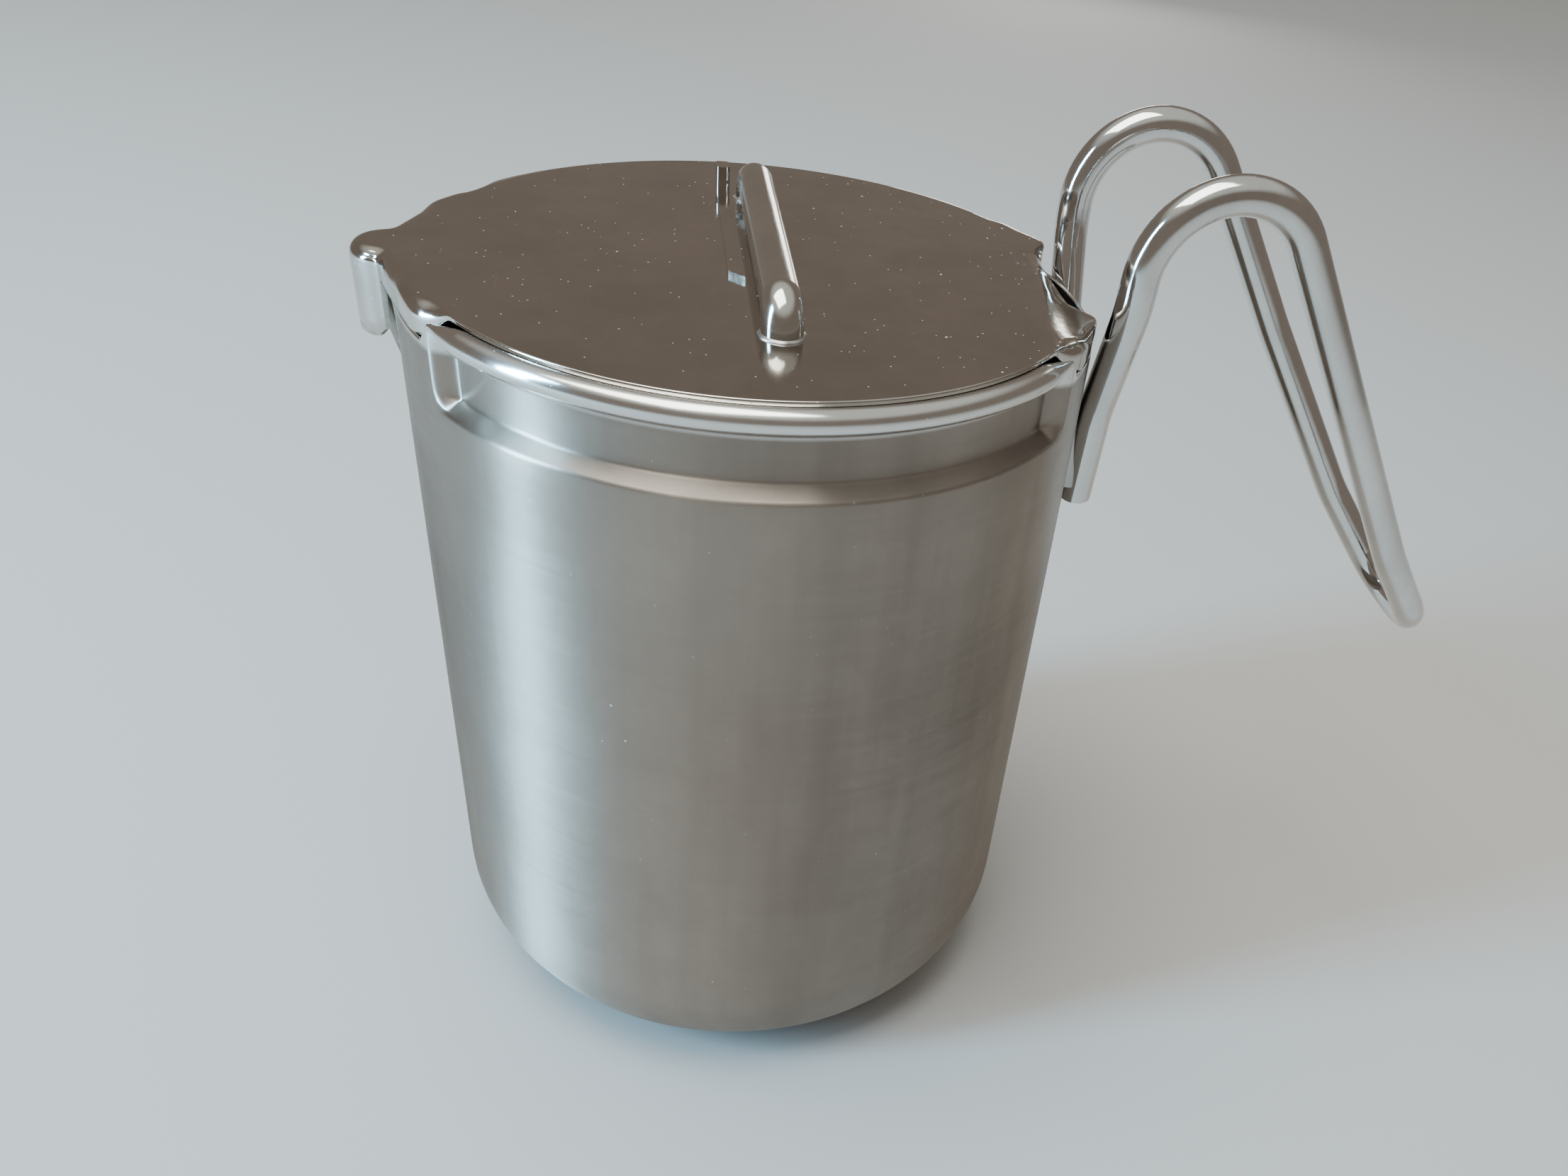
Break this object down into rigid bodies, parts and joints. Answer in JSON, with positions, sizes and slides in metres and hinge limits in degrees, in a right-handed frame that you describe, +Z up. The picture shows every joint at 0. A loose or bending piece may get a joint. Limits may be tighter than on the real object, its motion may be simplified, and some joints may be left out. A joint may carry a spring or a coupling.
{
  "type": "melting pot",
  "caption": "Lidded round steel pot with a pouring spout, rolled rim and a bent rod handle that hooks over the rim of a water bath.",
  "frame": {"origin": "centre of the flat base", "axes": "+Z up along the pot's axis, +X towards the handle, spout on -X, grip along Y"},
  "size_m": [0.2115, 0.1166, 0.1708],
  "materials": {
    "pot_steel": "satin polished",
    "lid_steel": "mirror polished",
    "rod_steel": "polished",
    "grip_steel": "polished",
    "weld_steel": "welded"
  },
  "bodies": {
    "pot": {"pot_body": "pot_steel", "pot_handle": "rod_steel", "handle_weld_near": "weld_steel", "handle_weld_far": "weld_steel"},
    "lid": {"lid_plate": "lid_steel", "lid_grip": "grip_steel", "grip_strip": "lid_steel", "grip_weld_near": "weld_steel", "grip_weld_far": "weld_steel"}
  },
  "joints": [
    {"name": "lid_lift", "type": "slide", "parent": "pot", "child": "lid", "axis": [0, 0, 1], "range_m": [0, 0.06]}
  ]
}
